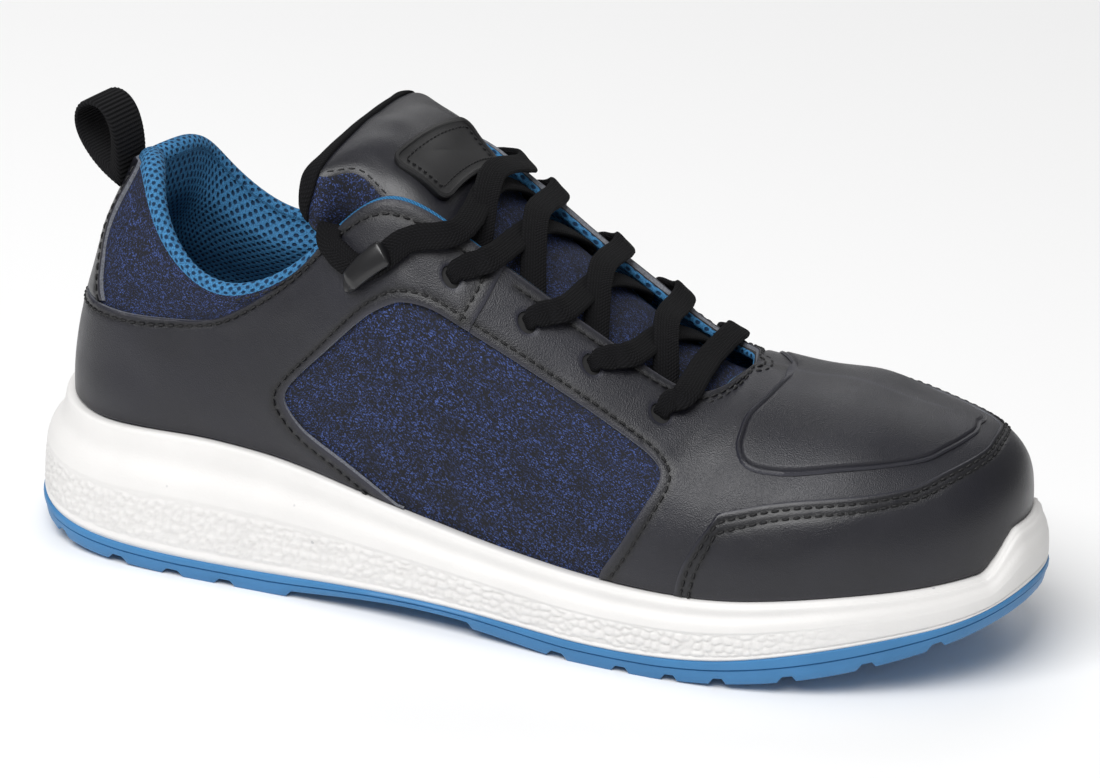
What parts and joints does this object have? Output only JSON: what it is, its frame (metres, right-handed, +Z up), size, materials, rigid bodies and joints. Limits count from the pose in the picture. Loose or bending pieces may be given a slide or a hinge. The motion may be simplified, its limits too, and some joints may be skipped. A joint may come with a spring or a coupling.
{
  "type": "safety sneaker",
  "caption": "Low safety sneaker, right foot, with a hollow textile upper, black leather overlays, flat laces, padded collar, heel pull loop and a cupped foam and rubber sole.",
  "frame": {"origin": "middle of the sole's outline on the floor", "axes": "+X to the toe, +Y to the medial side, +Z up"},
  "size_m": [0.3028, 0.111, 0.133],
  "materials": {
    "outsole_rubber": "matte blue rubber",
    "midsole_foam": "matte warm white foam",
    "lining_mesh": "blue spacer mesh",
    "glitter_textile": "black textile with fine blue flecks",
    "black_leather": "semi-matte pebbled",
    "backstay_leather": "smooth satin",
    "black_lace": "flat woven"
  },
  "bodies": {
    "root": {"outsole": "outsole_rubber", "midsole": "midsole_foam", "insole": "lining_mesh", "upper": "glitter_textile", "quarter": "black_leather", "vamp": "black_leather", "toe_guard": "black_leather", "toe_plateau": "black_leather", "backstay": "backstay_leather", "tongue": "black_leather", "tongue_badge": "backstay_leather", "lace_bar": "black_lace", "lace_crossing_1": "black_lace", "lace_crossing_2": "black_lace", "lace_crossing_3": "black_lace", "lace_crossing_4": "black_lace", "lace_keeper_lateral": "backstay_leather", "lace_keeper_medial": "backstay_leather", "pull_loop": "black_lace"}
  },
  "joints": []
}
